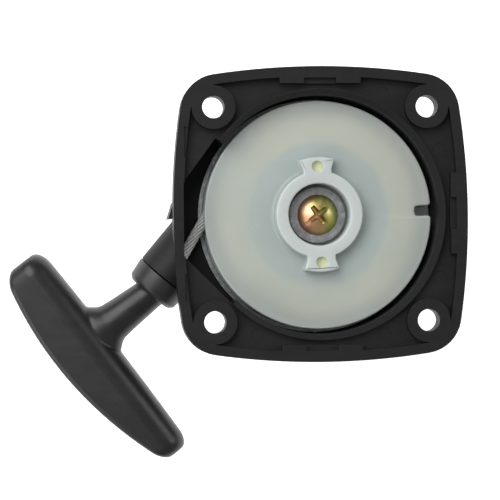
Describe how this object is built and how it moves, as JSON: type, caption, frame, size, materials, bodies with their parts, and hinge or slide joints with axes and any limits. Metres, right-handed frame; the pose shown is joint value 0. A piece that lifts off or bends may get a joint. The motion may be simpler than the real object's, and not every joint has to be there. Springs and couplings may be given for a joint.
{
  "type": "recoil starter",
  "caption": "Rope-pull recoil starter with a square bolt-on housing, a sprung nylon reel with drive ears, and a T handle on a side outlet.",
  "frame": {"origin": "centre of the square of four mounting holes, on the mounting face, which is also on the reel's axis", "axes": "+Z out of the mounting face, towards the engine, along the reel's axis; X and Y along the sides of the square of holes, with the rope outlet towards -X and -Y"},
  "size_m": [0.1074, 0.0915, 0.0271],
  "materials": {
    "housing_plastic": "matte, fine moulded grain",
    "collar_plastic": "satin",
    "handle_plastic": "satin",
    "nylon": "milky, slightly translucent, satin",
    "rope": "twisted strands",
    "zinc_washer": "dull zinc",
    "yellow_zinc": "iridescent yellow zinc",
    "steel": "plain",
    "zinc_sheet": "zinc-plated sheet",
    "spring_steel": "blued",
    "brass": "plain",
    "fibre": "plain"
  },
  "bodies": {
    "housing": {"housing": "housing_plastic", "threaded_insert": "brass", "axle_sleeve": "steel", "spring_case": "zinc_sheet", "recoil_spring": "spring_steel", "spring_cover": "zinc_sheet", "cover_screws": "steel", "thrust_washer": "fibre", "rope_guide_collar": "collar_plastic", "rope_run": "rope", "centre_washer": "zinc_washer", "centre_screw": "yellow_zinc"},
    "reel": {"rope_reel": "nylon", "rope_turns": "rope", "reel_knot": "rope"},
    "handle": {"handle_grip": "handle_plastic", "knot_washer": "steel", "handle_knot": "rope", "rope_in_handle": "rope", "handle_cap": "handle_plastic"}
  },
  "joints": [
    {"name": "reel_spin", "type": "hinge", "parent": "housing", "child": "reel", "pos_m": [0, 0, -0.0114], "axis": [0, 0, 1], "range_deg": [0, 1710], "stiffness_Nm_per_rad": 0.002, "springref_deg": -859.44, "deforming": ["recoil_spring"]},
    {"name": "handle_pull", "type": "slide", "parent": "housing", "child": "handle", "axis": [-0.7901, -0.604, -0.1045], "range_m": [0, 0.592]}
  ],
  "couplings": [
    {"joint": "handle_pull", "follows": "reel_spin", "m_per_rad": 0.0198}
  ]
}
